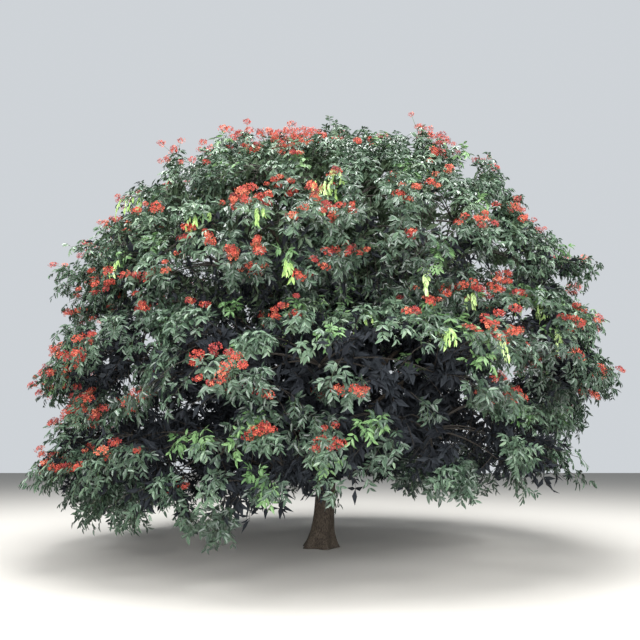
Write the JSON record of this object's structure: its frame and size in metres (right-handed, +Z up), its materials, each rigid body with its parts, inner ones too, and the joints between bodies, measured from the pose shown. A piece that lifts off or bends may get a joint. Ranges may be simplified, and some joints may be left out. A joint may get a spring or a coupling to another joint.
{
  "type": "ashoka tree",
  "caption": "Low, wide dome of drooping dark leaves with orange-red heads of blossom, on a short fluted trunk rooted in the ground.",
  "frame": {"origin": "the middle of the flat cut under the trunk, at ground level", "axes": "+Z straight up; the side the picture shows faces -Y, with +X to its right"},
  "size_m": [11.0061, 11.2782, 8.744],
  "materials": {
    "bark": "rough grey-brown bark",
    "foliage": "leathery dark green leaves"
  },
  "bodies": {
    "root": {"trunk": "bark", "bough_high_1": "bark", "bough_high_2": "bark", "bough_high_3": "bark", "bough_high_4": "bark", "bough_lower_1": "bark", "bough_lower_2": "bark", "bough_lower_3": "bark", "bough_lower_4": "bark", "bough_lower_5": "bark", "bough_lower_6": "bark", "bough_middle_1": "bark", "bough_middle_2": "bark", "bough_middle_3": "bark", "bough_middle_4": "bark", "bough_middle_5": "bark", "bough_middle_6": "bark", "bough_skirt_1": "bark", "bough_skirt_2": "bark", "bough_skirt_3": "bark", "bough_skirt_4": "bark", "bough_skirt_5": "bark", "bough_skirt_6": "bark", "bough_skirt_7": "bark", "bough_upper_1": "bark", "bough_upper_2": "bark", "bough_upper_3": "bark", "bough_upper_4": "bark", "bough_upper_5": "bark", "bough_upper_6": "bark", "foliage_high_1": "foliage", "foliage_high_2": "foliage", "foliage_high_3": "foliage", "foliage_high_4": "foliage", "foliage_lower_1": "foliage", "foliage_lower_2": "foliage", "foliage_lower_3": "foliage", "foliage_lower_4": "foliage", "foliage_lower_5": "foliage", "foliage_lower_6": "foliage", "foliage_middle_1": "foliage", "foliage_middle_2": "foliage", "foliage_middle_3": "foliage", "foliage_middle_4": "foliage", "foliage_middle_5": "foliage", "foliage_middle_6": "foliage", "foliage_skirt_1": "foliage", "foliage_skirt_2": "foliage", "foliage_skirt_3": "foliage", "foliage_skirt_4": "foliage", "foliage_skirt_5": "foliage", "foliage_skirt_6": "foliage", "foliage_skirt_7": "foliage", "foliage_top": "foliage", "foliage_upper_1": "foliage", "foliage_upper_2": "foliage", "foliage_upper_3": "foliage", "foliage_upper_4": "foliage", "foliage_upper_5": "foliage", "foliage_upper_6": "foliage"}
  },
  "joints": []
}
